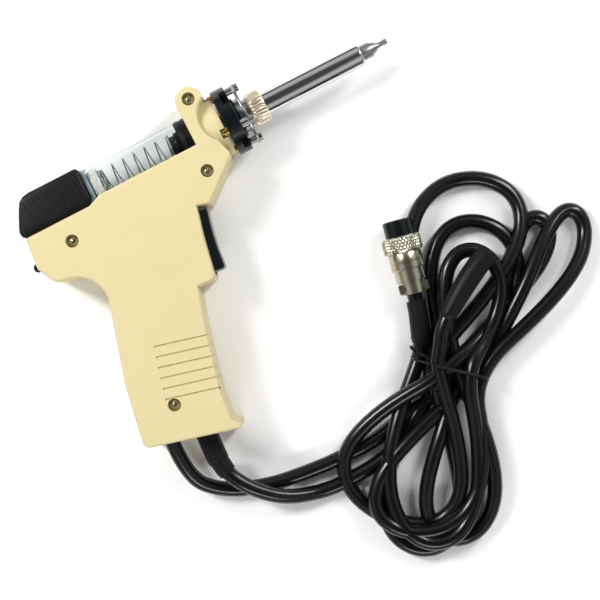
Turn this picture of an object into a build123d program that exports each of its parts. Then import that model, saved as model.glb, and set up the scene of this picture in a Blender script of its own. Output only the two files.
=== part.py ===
"""Electric desoldering gun with its power cable, vacuum hose, aviation plug and tied hank.

The gun lies on its side. Gun frame: x runs along the barrel to the nozzle from the screw in the
ear, y is the gun's own up measured from the barrel axis, z is the height above the table.
"""
import os
from math import cos, radians, sin, tan

from build123d import *

os.makedirs("parts", exist_ok=True)

# ---- driving dimensions, millimetres ----
gun_x = 3.0  # place of the gun frame in the part's own frame
gun_y = 54.36
body_width = 34.0  # overall thickness of the casing
axis_z = body_width / 2  # height of the barrel axis
wall = 2.2  # casing wall
edge_round = 1.2  # rounding of the casing's outer edges
run_gap = 0.3  # clearance between curved faces that pass each other
pin_gap = 0.05  # radial running clearance of pins and shafts

# barrel stations along x
flange_back = 9.8
flange_thickness = 7.0
flange_radius = 16.4
plate_thickness = 1.0
plate_radius = 15.3
spacer_length = 3.4
collar_length = 2.3
nut_length = 7.8
nut_radius = 8.2
pipe_radius = 5.7
pipe_length = 51.4
pipe_wall = 1.0
nozzle_collar_radius = 3.75
nozzle_collar_length = 4.8
nozzle_cone_length = 4.2
nozzle_neck_radius = 1.4
nozzle_neck_length = 4.6
suction_bore_radius = 0.5
suction_tube_radius = 1.75
heater_radius = 4.2
neck_radius = 14.5
neck_front = flange_back - 1.0
hub_radius = 9.0
flange_screw_circle = 13.4
flange_screw_angle = 22.0
flange_screw_count = 4
flange_screw_radius = 1.25

# collecting tube
tube_radius = 11.4
tube_wall = 1.4
tube_front = -12.3
tube_length = 46.9
tube_rear = tube_front - tube_length
trough_radius = tube_radius + 0.9
trough_wall = 1.8
seal_radius = tube_radius + 0.4
seal_length = 5.7
spigot_radius = 6.5
spigot_length = 5.1
spring_radius = tube_radius - tube_wall - 2.0
spring_wire = 0.6
spring_pitch = 6.7
filter_length = 4.6
rear_seal_length = 3.6

# casing outline
ear_radius = 6.5
ear_height = 15.4
top_line = -4.4  # upper edge of the side walls beside the tube
land_line = -7.0  # lower land that the rear cap slides on
step_front = -57.0
step_rear = -63.6
tail_rear = -96.7
handle_lean = 14.6  # degrees between the handle and the gun's upright

# rear cap
cap_front = -60.9
cap_top = 12.1
cap_width = 29.0
cap_travel = 14.0
cap_chamfer = 6.0

# casing screws: place in the gun frame
screw_places = [(0.0, 16.1), (-7.4, -17.5), (-78.0, -17.8), (-70.7, -107.1)]
screw_head_radius = 2.4
screw_head_height = 1.8
screw_radius = 1.5
screw_recess_radius = 3.1
screw_recess_depth = 4.4
boss_radius = 4.0
screw_point = 6.0  # height of the screw tips above the table

# trigger
trigger_width = 19.0
trigger_pivot = (-24.6, -35.4)
trigger_pin_radius = 1.5
switch_size = (10.0, 20.0, 6.4)
switch_centre = (-41.5, -49.0)
plunger_radius = 1.2
plunger_length = 2.6

# release button
button_centre = -20.0
button_radius = 2.3
button_head_radius = 3.0
stem_radius = 1.2
rib_back = tail_rear + 9.2  # rib that the button's spring pushes against
latch_back = rib_back + 1.2 + 0.6
prong_out = 8.0  # the latch's two prongs stand this far each side of the axis
prong_width = 2.0
barb_x = -69.2  # hose barb under the seal carrier
barb_end = -13.3

# cords
cord_radius = 3.65
sleeve_radius = 5.35
hose_bore_radius = 2.4
hose_bore_depth = 5.0
hank_height = 15.0
waist_height = 22.0

groove_width = 1.0
groove_depth = 0.6
groove_pitch = 5.0
groove_count = 6

# plug, measured along its axis from the insert's open face
insert_radius = 6.9
seat_radius = 6.7  # the insert behind its exposed front, where the body holds it
insert_length = 14.0
ring_radius = 9.5
ring_start = 8.0
ring_length = 7.6
ring_bore = 8.1
plug_length = 36.0
shroud_radius = 8.0
step_radius = 7.2
clamp_radius = 6.4
clamp_length = 6.0
plug_lean = 12.6  # degrees between the plug's axis and the gun's upright

gun = Plane((gun_x, gun_y, 0))


def level(z):
    """The gun frame's plane at height z."""
    return gun.offset(z)


def across(x, up=0.0, out=0.0):
    """A plane square to the barrel at x, shifted from its axis by up (y) and out (z)."""
    return Plane((gun_x + x, gun_y + up, axis_z + out), x_dir=(0, 1, 0), z_dir=(1, 0, 0))


def drum(x0, x1, radius, mode=Mode.ADD, up=0.0, out=0.0):
    """A cylinder along the barrel from x0 to x1."""
    with Locations(across(x0, up, out)):
        Cylinder(radius, x1 - x0, align=(Align.CENTER, Align.CENTER, Align.MIN), mode=mode)


def post(x, y, z0, z1, radius, mode=Mode.ADD):
    """A cylinder standing up from z0 to z1 at the gun frame's x, y."""
    with Locations((gun_x + x, gun_y + y, z0)):
        Cylinder(radius, z1 - z0, align=(Align.CENTER, Align.CENTER, Align.MIN), mode=mode)


def block(x0, x1, y0, y1, z0, z1, mode=Mode.ADD):
    """A box between two corners of the gun frame."""
    with Locations((gun_x + x0, gun_y + y0, z0)):
        Box(x1 - x0, y1 - y0, z1 - z0, align=(Align.MIN, Align.MIN, Align.MIN), mode=mode)


def save(piece, node):
    """Label a finished piece and write it under its node's name."""
    piece.part.label = node
    export_step(piece.part, f"parts/{node}.step")


# ---- casing outline, shared by both halves ----
def casing_outline():
    """The side view of the casing as a closed face on the table plane of the gun frame."""
    with BuildSketch() as outline:
        with BuildLine():
            Line((ear_radius, ear_height), (ear_radius, 13.8))
            ThreePointArc((ear_radius, 13.8), (-0.6, 3.2), (3.6, -7.0))
            Line((3.6, -7.0), (6.3, -15.8))
            Polyline((6.3, -15.8), (-13.2, -31.5), (-19.2, -29.7))
            Polyline((-19.2, -29.7), (-22.6, -43.0), (-26.2, -61.3), (-27.4, -63.7), (-35.7, -63.3))
            Polyline((-35.7, -63.3), (-41.5, -82.6), (-48.7, -112.0), (-49.9, -124.0))
            ThreePointArc((-49.9, -124.0), (-49.0, -127.0), (-46.9, -128.5))
            Polyline((-46.9, -128.5), (-47.7, -130.9), (-92.5, -118.9), (-87.0, -89.0))
            ThreePointArc((-87.0, -89.0), (-80.6, -67.0), (-75.2, -49.0))
            ThreePointArc((-75.2, -49.0), (-78.6, -38.2), (-88.3, -32.6))
            Polyline((-88.3, -32.6), (-93.6, -31.8), (-98.3, -22.2), (tail_rear, land_line))
            Polyline((tail_rear, land_line), (step_rear, land_line), (step_front, top_line))
            Polyline((step_front, top_line), (-ear_radius, top_line), (-ear_radius, ear_height))
            ThreePointArc((-ear_radius, ear_height), (0, ear_height + ear_radius), (ear_radius, ear_height))
        make_face()
        corners = {(-92.5, -118.9): 3.5, (-93.6, -31.8): 5.0, (-98.3, -22.2): 3.0, (-13.2, -31.5): 1.5,
                   (-47.7, -130.9): 1.3, (-27.4, -63.7): 2.0, (6.3, -15.8): 3.0}
        for corner, radius in corners.items():
            fillet(outline.vertices().sort_by_distance((*corner, 0))[0], radius)
    return outline.sketch


def in_gun(points):
    """Points of the gun frame as vectors of the part's frame."""
    return [Vector(gun_x + x, gun_y + y, z) for x, y, z in points]


def bend_radii(points):
    """One arc radius for each corner of a route, as large as its two runs allow."""
    radii = []
    for before, corner, after in zip(points, points[1:], points[2:]):
        run_in, run_out = corner - before, after - corner
        turn = radians(run_in.get_angle(run_out))
        radii.append(0.45 * min(run_in.length, run_out.length) / tan(turn / 2))
    return radii


def cord_path(name, points):
    """The route's line: straight runs joined by tangent arcs."""
    radii = bend_radii(points)
    with BuildLine() as path:
        FilletPolyline(*points, radius=radii)
    line = path.wires()[0]
    print(name, "length", round(line.length, 1), "radii", [round(radius) for radius in radii])
    return line


def round_section(line, radius):
    """A disc square to the start of a line."""
    with BuildSketch(Plane(line @ 0, z_dir=line % 0), mode=Mode.PRIVATE) as section:
        Circle(radius)
    return section.sketch


def cord_tube(line, radius):
    """A plain round cord along a line; its volume is compared with section times length."""
    with BuildPart() as tube:
        sweep(round_section(line, radius), path=line)
    expected = round_section(line, radius).area * line.length
    print("   volume ratio", round(tube.part.volume / expected, 3))
    return tube


lead_radius = 1.4
lead_line = cord_path("heater_leads", in_gun([
    (0.3, -6.4, axis_z), (-8.0, -7.6, axis_z), (-14.6, -17.5, 16.0), (-27.0, -29.0, 12.0), (-44.0, -33.5, 9.0),
    (-56.0, -48.0, 9.0), (-60.5, -69.0, 12.5), (-60.9, -91.6, axis_z)]))
heater_leads = cord_tube(lead_line, lead_radius)
lead_tunnel = cord_tube(lead_line, lead_radius + 0.2)

nut_pocket_radius = 2.5
screw_ring = [flange_screw_angle + 360 / flange_screw_count * index for index in range(flange_screw_count)]


def on_screw_ring(angle):
    """Shift from the barrel axis to a flange screw, as keywords for drum()."""
    return {
        "up": flange_screw_circle * cos(radians(angle)),
        "out": flange_screw_circle * sin(radians(angle)),
    }


outline = casing_outline()
handle_axis = Vector(-sin(radians(handle_lean)), -cos(radians(handle_lean)), 0)
handle_front = Vector(-handle_axis.Y, handle_axis.X, 0)
cable_exit = Plane((gun_x - 64.9, gun_y - 127.0, axis_z), z_dir=(0, -1, 0))
hose_exit = Plane((gun_x - 81.0, gun_y - 122.0, axis_z), z_dir=(-0.15, -0.99, 0))

# a finger groove wraps over both sides and the handle's front edge
finger_groove = Box(26, groove_width, body_width + 2) - Pos(-groove_depth, 0, 0) * Box(
    26, groove_width, body_width - 2 * groove_depth
)


def groove_places():
    """Places of the finger grooves down the handle's front edge."""
    first = Vector(gun_x - 42.6, gun_y - 85.2, axis_z)
    for index in range(groove_count):
        centre = first + handle_axis * (groove_pitch * index) - handle_front * (13 - groove_depth - 0.2)
        yield Plane(centre, x_dir=handle_front, z_dir=(0, 0, 1)).location


def casing_half(side):
    """One half of the casing, open at the parting plane; side is +1 above it and -1 below."""
    half = body_width / 2
    split = level(axis_z)
    extrude(split * outline, amount=side * half)
    skin = edges().group_by(Axis.Z)[-1 if side > 0 else 0]
    fillet(skin, edge_round)
    with BuildSketch() as cavity:
        add(outline)
        offset(amount=-wall, kind=Kind.INTERSECTION, mode=Mode.REPLACE)
    extrude(split * cavity.sketch, amount=side * (half - wall), mode=Mode.SUBTRACT)

    z_skin = axis_z + side * (half - wall)
    drum(-ear_radius, neck_front, neck_radius)
    drum(tail_rear + wall, -ear_radius, trough_radius + trough_wall)
    for place in screw_places:
        post(*place, *sorted((axis_z, z_skin)), boss_radius)
    z_cheek = axis_z + side * (trigger_width / 2 + run_gap)
    post(*trigger_pivot, *sorted((z_cheek, z_skin)), 3.2)

    block(tail_rear - 5, -ear_radius, top_line, trough_radius + 10, -1, body_width + 1, Mode.SUBTRACT)
    with BuildSketch(split) as above_land:
        with BuildLine():
            Polyline((tail_rear - 5, land_line), (step_rear, land_line), (step_front, top_line))
            Polyline((step_front, top_line), (tail_rear - 5, top_line), (tail_rear - 5, land_line))
        make_face()
    extrude(above_land.sketch, amount=side * body_width, mode=Mode.SUBTRACT)
    drum(tail_rear - 5, -ear_radius, trough_radius, Mode.SUBTRACT)
    drum(-ear_radius - 1, neck_front + 1, hub_radius + pin_gap, Mode.SUBTRACT)
    post(*trigger_pivot, wall + 1.5, body_width - wall - 1.5, trigger_pin_radius, Mode.SUBTRACT)
    slot = trigger_width / 2 + run_gap
    block(-36, -17, -61.5, -30.4, axis_z - slot, axis_z + slot, Mode.SUBTRACT)
    drum(tail_rear - 8, tail_rear + 8, button_radius + 0.15, Mode.SUBTRACT, up=button_centre)
    block(barb_x - cap_travel - 3, barb_x + 3.2, -14.6, -8, axis_z - 3.4, axis_z + 3.4, Mode.SUBTRACT)
    for out in (-prong_out, prong_out):
        drum_slot = (axis_z + out - prong_width / 2 - 0.4, axis_z + out + prong_width / 2 + 0.4)
        block(latch_back - 0.5, latch_back + 4.0, -14.5, -6, *drum_slot, Mode.SUBTRACT)
    block(rib_back, rib_back + 1.2, button_centre - 6, button_centre + 5, wall, body_width - wall)
    drum(rib_back - 1, rib_back + 3, stem_radius + 0.3, Mode.SUBTRACT, up=button_centre)
    add(lead_tunnel.part, mode=Mode.SUBTRACT)
    for angle in screw_ring:
        drum(flange_back - 3.6, flange_back, nut_pocket_radius, Mode.SUBTRACT, **on_screw_ring(angle))
    for exit_plane, radius in ((cable_exit, sleeve_radius), (hose_exit, cord_radius)):
        with Locations(exit_plane):
            Cylinder(radius + pin_gap, 40, mode=Mode.SUBTRACT)
    for place in screw_places:
        post(*place, screw_point - 1, axis_z, screw_radius, Mode.SUBTRACT)
        post(*place, axis_z, body_width, screw_radius + 0.2, Mode.SUBTRACT)
        post(*place, body_width - screw_recess_depth, body_width, screw_recess_radius, Mode.SUBTRACT)
    for place in groove_places():
        add(place * finger_groove, mode=Mode.SUBTRACT)
    low, high = sorted((axis_z, axis_z + side * half))
    block(-150, 150, -200, 100, low, high, Mode.INTERSECT)


with BuildPart() as upper_casing:
    casing_half(1)
save(upper_casing, "upper_casing")

with BuildPart() as lower_casing:
    casing_half(-1)
save(lower_casing, "lower_casing")

# ---- casing screws ----
with BuildPart() as casing_screws:
    shoulder = body_width - screw_recess_depth
    for place in screw_places:
        post(*place, screw_point, shoulder, screw_radius)
        post(*place, shoulder, shoulder + screw_head_height, screw_head_radius)
        with Locations((gun_x + place[0], gun_y + place[1], shoulder + screw_head_height)):
            Box(3.0, 0.8, 1.6, mode=Mode.SUBTRACT)
            Box(0.8, 3.0, 1.6, mode=Mode.SUBTRACT)
save(casing_screws, "casing_screws")

save(heater_leads, "heater_leads")

# ---- heater end ----
flange_front = flange_back + flange_thickness
plate_back = flange_front + spacer_length
plate_front = plate_back + plate_thickness
nut_back = plate_front + collar_length
nut_front = nut_back + nut_length
pipe_front = nut_front + pipe_length


with BuildPart() as heater_mount:
    drum(flange_back, flange_front, flange_radius)
    drum(flange_front, flange_front + 1.2, 9.6)
    drum(0.5, flange_back, hub_radius)
    drum(0.4, flange_front + 1.3, heater_radius + pin_gap, Mode.SUBTRACT)
    for angle in screw_ring:
        drum(flange_back, flange_front, flange_screw_radius, Mode.SUBTRACT, **on_screw_ring(angle))
save(heater_mount, "heater_mount")

with BuildPart() as mount_nuts:
    for angle in screw_ring:
        drum(flange_back - 2.4, flange_back, 2.0, **on_screw_ring(angle))
        drum(flange_back - 2.5, flange_back, flange_screw_radius, Mode.SUBTRACT, **on_screw_ring(angle))
save(mount_nuts, "mount_nuts")

with BuildPart() as spacers:
    for angle in screw_ring:
        drum(flange_front, plate_back, 1.9, **on_screw_ring(angle))
        drum(flange_front, plate_back, flange_screw_radius, Mode.SUBTRACT, **on_screw_ring(angle))
save(spacers, "spacers")

with BuildPart() as heater_plate:
    drum(plate_back, plate_front, plate_radius)
    drum(plate_back, plate_front, heater_radius + pin_gap, Mode.SUBTRACT)
    for angle in screw_ring:
        drum(plate_back, plate_front, flange_screw_radius, Mode.SUBTRACT, **on_screw_ring(angle))
save(heater_plate, "heater_plate")

with BuildPart() as plate_washers:
    for angle in screw_ring:
        drum(plate_front, plate_front + 0.5, 2.3, **on_screw_ring(angle))
        drum(plate_front, plate_front + 0.5, flange_screw_radius, Mode.SUBTRACT, **on_screw_ring(angle))
save(plate_washers, "plate_washers")

with BuildPart() as plate_screws:
    for angle in screw_ring:
        drum(flange_back - 3.2, plate_front + 0.5, flange_screw_radius, **on_screw_ring(angle))
        drum(plate_front + 0.5, plate_front + 2.0, 1.9, **on_screw_ring(angle))
save(plate_screws, "plate_screws")

with BuildPart() as heater_collar:
    drum(plate_front, nut_back + 4, 6.4)
    drum(plate_front, nut_back + 4, heater_radius + pin_gap, Mode.SUBTRACT)
save(heater_collar, "heater_collar")

with BuildPart() as mount_sleeve:
    drum(flange_front + 1.2, plate_back, 8.4)
    drum(flange_front + 1.2, plate_back, heater_radius + pin_gap, Mode.SUBTRACT)
save(mount_sleeve, "mount_sleeve")

with BuildPart() as heater_core:
    drum(2.0, pipe_front - 4, heater_radius)
    drum(2.0, pipe_front - 4, suction_tube_radius + pin_gap, Mode.SUBTRACT)
save(heater_core, "heater_core")

with BuildPart() as pipe_nut:
    drum(nut_back, nut_front, nut_radius)
    chamfer(edges().group_by(Axis.X)[-1], 0.8)
    drum(nut_back, nut_back + 5.2, 6.45, Mode.SUBTRACT)
    drum(nut_back, nut_front, pipe_radius + pin_gap, Mode.SUBTRACT)
save(pipe_nut, "pipe_nut")

with BuildPart() as heater_pipe:
    drum(nut_back + 4.1, pipe_front, pipe_radius)
    fillet(edges().group_by(Axis.X)[-1], 0.7)
    drum(nut_back + 4.1, nut_back + 5.1, 6.4)
    drum(nut_back + 4.1, pipe_front - 1.2, pipe_radius - pipe_wall, Mode.SUBTRACT)
    drum(pipe_front - 2, pipe_front, nozzle_collar_radius + pin_gap, Mode.SUBTRACT)
save(heater_pipe, "heater_pipe")

cone_back = pipe_front + nozzle_collar_length
neck_back = cone_back + nozzle_cone_length
nozzle_front = neck_back + nozzle_neck_length
with BuildPart() as nozzle:
    drum(pipe_front - 3.6, pipe_front - 1.3, pipe_radius - pipe_wall - pin_gap)
    drum(pipe_front - 1.4, cone_back, nozzle_collar_radius)
    with Locations(across(cone_back)):
        Cone(nozzle_collar_radius - 0.5, nozzle_neck_radius, nozzle_cone_length,
             align=(Align.CENTER, Align.CENTER, Align.MIN))
    drum(neck_back, nozzle_front, nozzle_neck_radius)
    drum(pipe_front - 4, nozzle_front, suction_bore_radius, Mode.SUBTRACT)
save(nozzle, "nozzle")

spigot_rear = tube_front - spigot_length
seal_front = tube_front + seal_length
with BuildPart() as suction_tube:
    drum(spigot_rear - 1.5, pipe_front - 3.8, suction_tube_radius)
    drum(spigot_rear - 1.5, pipe_front - 3.8, suction_tube_radius - 0.5, Mode.SUBTRACT)
save(suction_tube, "suction_tube")

# ---- collecting tube and its seals ----
with BuildPart() as front_seal:
    drum(tube_front, seal_front, seal_radius)
    fillet(edges().filter_by(GeomType.CIRCLE), 0.5)
    drum(tube_front - 2.2, tube_front, spigot_radius + 0.9)
    drum(spigot_rear, tube_front - 2.2, spigot_radius)
    drum(seal_front, 0.4, hub_radius)
    drum(spigot_rear, 0.4, suction_tube_radius, Mode.SUBTRACT)
    add(lead_tunnel.part, mode=Mode.SUBTRACT)
save(front_seal, "front_seal")

with BuildPart() as glass_tube:
    drum(tube_rear, tube_front, tube_radius)
    drum(tube_rear, tube_front, tube_radius - tube_wall, Mode.SUBTRACT)
save(glass_tube, "glass_tube")

filter_rear = tube_rear + 0.3
filter_front = filter_rear + filter_length
with BuildPart() as filter_pad:
    drum(filter_rear, filter_front, tube_radius - tube_wall - pin_gap)
save(filter_pad, "filter_pad")

spring_rear = filter_front + spring_wire / 2
spring_turns = (spigot_rear + 4.0 - spring_rear) / spring_pitch
with BuildPart() as collector_spring:
    with BuildLine() as coil:
        Helix(spring_pitch, spring_pitch * spring_turns, spring_radius,
              center=(gun_x + spring_rear, gun_y, axis_z), direction=(1, 0, 0))
    with BuildSketch(Plane(coil.line @ 0, z_dir=coil.line % 0)):
        Circle(spring_wire / 2)
    sweep()
save(collector_spring, "collector_spring")

carrier_rear = -92.0
carrier_radius = 10.0
with BuildPart() as rear_seal:
    drum(tube_rear - rear_seal_length, tube_rear, seal_radius)
    drum(tube_rear - rear_seal_length - 4, tube_rear - rear_seal_length, 8.0)
    drum(tube_rear - rear_seal_length - 4, tube_rear, 2.5, Mode.SUBTRACT)
save(rear_seal, "rear_seal")

with BuildPart() as seal_carrier:
    drum(carrier_rear, tube_rear - rear_seal_length, carrier_radius)
    drum(tube_rear - rear_seal_length - 4, tube_rear - rear_seal_length, 8.0, Mode.SUBTRACT)
    drum(barb_x - 3, tube_rear - rear_seal_length, 2.5, Mode.SUBTRACT)
    with Locations(Plane((gun_x + barb_x, gun_y, axis_z), z_dir=(0, -1, 0))):
        Cylinder(2.0, -barb_end, align=(Align.CENTER, Align.CENTER, Align.MIN))
        Cylinder(1.2, -barb_end, align=(Align.CENTER, Align.CENTER, Align.MIN), mode=Mode.SUBTRACT)
save(seal_carrier, "seal_carrier")

with BuildPart() as rear_cap:
    with BuildSketch(level(axis_z)) as cap_side:
        with BuildLine():
            Line((cap_front, land_line + run_gap), (cap_front, cap_top))
            Line((cap_front, cap_top), (-88.5, cap_top))
            ThreePointArc((-88.5, cap_top), (-92.0, 10.2), (-94.2, 6.6))
            Polyline((-94.2, 6.6), (-98.8, -3.0), (-97.9, land_line + run_gap), (cap_front, land_line + run_gap))
        make_face()
        fillet(cap_side.vertices().sort_by_distance((-98.8, -3.0, 0))[0], 2.0)
        fillet(cap_side.vertices().sort_by_distance((cap_front, land_line, 0))[0], 4.0)
    extrude(amount=cap_width / 2, both=True)
    long_edges = edges().filter_by(Axis.X).filter_by(lambda edge: edge.center().Y > gun_y + cap_top - 1)
    chamfer(long_edges, cap_chamfer)
    drum(-95.0, tube_rear - rear_seal_length, trough_radius - run_gap)
    drum(carrier_rear, cap_front + 3, carrier_radius, Mode.SUBTRACT)
    drum(tube_rear - rear_seal_length, cap_front + 3, seal_radius + pin_gap, Mode.SUBTRACT)
    block(barb_x - 2.2, barb_x + 2.2, -20, -5, axis_z - 2.2, axis_z + 2.2, Mode.SUBTRACT)
    for out in (-prong_out, prong_out):
        low = axis_z + out - prong_width / 2 - 0.3
        block(latch_back - 0.5, latch_back + cap_travel + 4.0, -14, -7.8, low, low + prong_width + 0.6,
              Mode.SUBTRACT)
save(rear_cap, "rear_cap")

# ---- release button and its stop ----
button_front = tail_rear - 5.2
head_back = tail_rear + 4.0
with BuildPart() as release_button:
    drum(button_front + 1.9, head_back, button_radius, up=button_centre)
    with Locations(across(button_front + 1.9, button_centre)):
        Sphere(button_radius)
    drum(head_back, head_back + 1.2, button_head_radius, up=button_centre)
    drum(head_back + 1.2, latch_back, stem_radius, up=button_centre)
save(release_button, "release_button")

with BuildPart() as release_latch:
    block(latch_back, latch_back + 1.5, button_centre - 2.5, button_centre + 2.5, axis_z - prong_out - 1,
          axis_z + prong_out + 1)
    for out in (-prong_out, prong_out):
        block(latch_back, latch_back + 1.5, button_centre, -8.6, axis_z + out - prong_width / 2,
              axis_z + out + prong_width / 2)
save(release_latch, "release_latch")

with BuildPart() as button_spring:
    spring_seat = head_back + 1.5
    with BuildLine() as button_coil:
        Helix(1.2, rib_back - spring_seat - 0.3, 1.9, center=(gun_x + spring_seat, gun_y + button_centre, axis_z),
              direction=(1, 0, 0))
    with BuildSketch(Plane(button_coil.line @ 0, z_dir=button_coil.line % 0)):
        Circle(0.2)
    sweep()
save(button_spring, "button_spring")

# ---- trigger ----
pivot_x, pivot_y = trigger_pivot
with BuildPart() as trigger:
    with BuildSketch(level(axis_z)):
        with BuildLine():
            ThreePointArc((-15.4, -31.8), (-18.8, -46.0), (-20.6, -60.2))
            Polyline((-20.6, -60.2), (-21.6, -61.0), (-26.8, -60.6), (-30.0, -57.5), (-31.2, -40.0))
            ThreePointArc((-31.2, -40.0), (-29.0, -32.9), (-24.6, -31.2))
            Line((-24.6, -31.2), (-15.4, -31.8))
        make_face()
    extrude(amount=trigger_width / 2, both=True)
    post(*trigger_pivot, 0, body_width, trigger_pin_radius + pin_gap, Mode.SUBTRACT)
    post(*trigger_pivot, axis_z - 3, axis_z + 3, 3.2, Mode.SUBTRACT)
    block(-33.6, -30.2, -50.5, -47.5, axis_z - 2.5, axis_z + 2.5)
save(trigger, "trigger")

with BuildPart() as trigger_pin:
    post(*trigger_pivot, wall + 1.5, body_width - wall - 1.5, trigger_pin_radius)
save(trigger_pin, "trigger_pin")

with BuildPart() as trigger_spring:
    with BuildLine() as torsion_coil:
        Helix(1.0, 5.0, 2.3, center=(gun_x + pivot_x, gun_y + pivot_y, axis_z - 2.5))
    with BuildSketch(Plane(torsion_coil.line @ 0, z_dir=torsion_coil.line % 0)):
        Circle(0.35)
    sweep()
save(trigger_spring, "trigger_spring")

# ---- switch behind the trigger ----
switch_depth, switch_height, switch_thickness = switch_size
switch_x, switch_y = switch_centre
switch_face = switch_x + switch_depth / 2
with BuildPart() as switch_body:
    with Locations((gun_x + switch_x, gun_y + switch_y, axis_z)):
        Box(switch_depth, switch_height, switch_thickness)
    for offset_y in (-6.5, 0.0, 6.5):
        block(switch_x - switch_depth / 2 - 3.2, switch_x - switch_depth / 2, switch_y + offset_y - 1.4,
              switch_y + offset_y + 1.4, axis_z - 0.3, axis_z + 0.3)
    drum(switch_face - 3, switch_face, plunger_radius + pin_gap, Mode.SUBTRACT, up=switch_y)
save(switch_body, "switch_body")

with BuildPart() as switch_plunger:
    drum(switch_face - 0.9, switch_face + plunger_length, plunger_radius, up=switch_y)
save(switch_plunger, "switch_plunger")


# ---- cords ----
cable_route = in_gun([(-61.0, -92.0, axis_z), (-62.7, -108.0, axis_z), (-65.0, -124.0, axis_z), (-66.6, -145.0, 15.5),
                      (-59.5, -159.0, 14.6), (-47.0, -171.5, 10.0), (-31.5, -177.4, 3.8), (-18.9, -179.0, 3.8)])
hose_route = in_gun([(-78.4, -101.8, axis_z), (-81.0, -122.0, axis_z), (-84.2, -141.0, 11.0), (-71.5, -156.0, 4.4),
                     (-50.0, -163.8, 3.8), (-30.0, -166.4, 3.8), (-17.6, -167.4, 3.8)])
cable_line = cord_path("power_cable", cable_route)
hose_line = cord_path("vacuum_hose", hose_route)

power_cable = cord_tube(cable_line, cord_radius)
save(power_cable, "power_cable")
vacuum_hose = cord_tube(hose_line, cord_radius)
save(vacuum_hose, "vacuum_hose")

sleeve_line = cable_line.trim(0.18, 0.42)
with BuildPart() as cable_sleeve:
    sweep(round_section(sleeve_line, sleeve_radius), path=sleeve_line)
    sweep(round_section(sleeve_line, cord_radius), path=sleeve_line, mode=Mode.SUBTRACT)
save(cable_sleeve, "cable_sleeve")

# ---- cable clamp inside the grip ----
clamp_y = -98.0
clamp_x = -61.6
with BuildPart() as cable_clamp:
    block(clamp_x - 9.5, clamp_x + 9.5, clamp_y - 3, clamp_y + 3, axis_z, axis_z + 6.2)
    with Locations(Plane(cable_line @ 0, z_dir=cable_line % 0)):
        Cylinder(cord_radius + pin_gap, 60, mode=Mode.SUBTRACT)
    for shift in (-7.0, 7.0):
        post(clamp_x + shift, clamp_y, axis_z, axis_z + 7, 1.25, Mode.SUBTRACT)
save(cable_clamp, "cable_clamp")

with BuildPart() as clamp_screws:
    for shift in (-7.0, 7.0):
        post(clamp_x + shift, clamp_y, axis_z - 5, axis_z + 6.2, 1.25)
        post(clamp_x + shift, clamp_y, axis_z + 6.2, axis_z + 8.0, 2.3)
save(clamp_screws, "clamp_screws")

# ---- inner hose from the seal carrier's barb to the vacuum hose ----
inner_line = cord_path("inner_hose", in_gun([
    (barb_x, barb_end - 0.4, 17.0), (barb_x + 0.4, -24.0, 17.0), (-66.6, -38.0, 17.0), (-67.0, -54.0, 17.0),
    (-72.4, -77.0, 17.0), (-78.2, -101.0, 17.0)]))
with BuildPart() as inner_hose:
    sweep(round_section(inner_line, 3.0), path=inner_line)
save(inner_hose, "inner_hose")

# ---- tied hank ----
hank_outline = [(38, -146), (26, -145), (11, -145), (-2, -151), (-12, -160), (-17, -171), (-17.5, -182), (-12, -191),
                (-15, -204), (-17, -214), (-14, -223), (-6, -229), (5, -230), (15, -229), (26, -228), (37, -220),
                (47, -206), (53, -192), (55, -180), (60, -171), (72, -160), (86, -149), (106, -139), (125, -131),
                (139, -123), (147, -115), (144, -110), (136, -110), (127, -106), (121, -90), (114, -77),
                (103, -71.5), (90, -73), (78, -80), (71, -92), (67, -105), (63.5, -116), (58.5, -127), (53, -136),
                (47, -143)]
tie_centre = Vector(gun_x + 52.0, gun_y - 152.5, 0)
bundle_way = Vector(0.69, 0.724, 0).normalized()
waist = Plane(tie_centre, x_dir=bundle_way, z_dir=(0, 0, 1))
waist_width = 40.0
tie_thickness = 1.3
tie_width = 2.4
with BuildPart() as cord_hank:
    with BuildSketch(gun):
        with BuildLine():
            Spline(*hank_outline, periodic=True)
        make_face()
    extrude(amount=hank_height)
    with Locations(waist.offset(tie_thickness + 0.1)):
        with Locations((-3, 0)):
            Box(18, waist_width - 2 * tie_thickness, waist_height - tie_thickness,
                align=(Align.CENTER, Align.CENTER, Align.MIN))
    with Locations(waist):
        Box(tie_width + 0.2, 3 * waist_width, 3 * waist_height, mode=Mode.SUBTRACT)
    with Locations(waist.offset(tie_thickness + 0.1)):
        with Locations((-3, 0)):
            Box(18, waist_width - 2 * tie_thickness, waist_height - tie_thickness,
                align=(Align.CENTER, Align.CENTER, Align.MIN))
save(cord_hank, "cord_hank")

with BuildPart() as hank_tie:
    with Locations(waist.offset(0.05)):
        Box(tie_width, waist_width, waist_height + tie_thickness, align=(Align.CENTER, Align.CENTER, Align.MIN))
    with Locations(waist.offset(tie_thickness + 0.1)):
        Box(30, waist_width - 2 * tie_thickness, waist_height - tie_thickness,
            align=(Align.CENTER, Align.CENTER, Align.MIN), mode=Mode.SUBTRACT)
save(hank_tie, "hank_tie")

# ---- plug: each piece is measured along the plug's axis from the insert's open face ----
plug = Plane(
    (gun_x + 61.7, gun_y - 77.8, ring_radius + 0.05),
    x_dir=(0, 0, 1),
    z_dir=(-sin(radians(plug_lean)), -cos(radians(plug_lean)), 0),
)


def turned(start, stop, radius, mode=Mode.ADD, across_x=0.0, across_y=0.0):
    """A cylinder on the plug's axis between two stations."""
    with Locations(plug.offset(start)):
        with Locations((across_x, across_y)):
            Cylinder(radius, stop - start, align=(Align.CENTER, Align.CENTER, Align.MIN), mode=mode)


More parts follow.
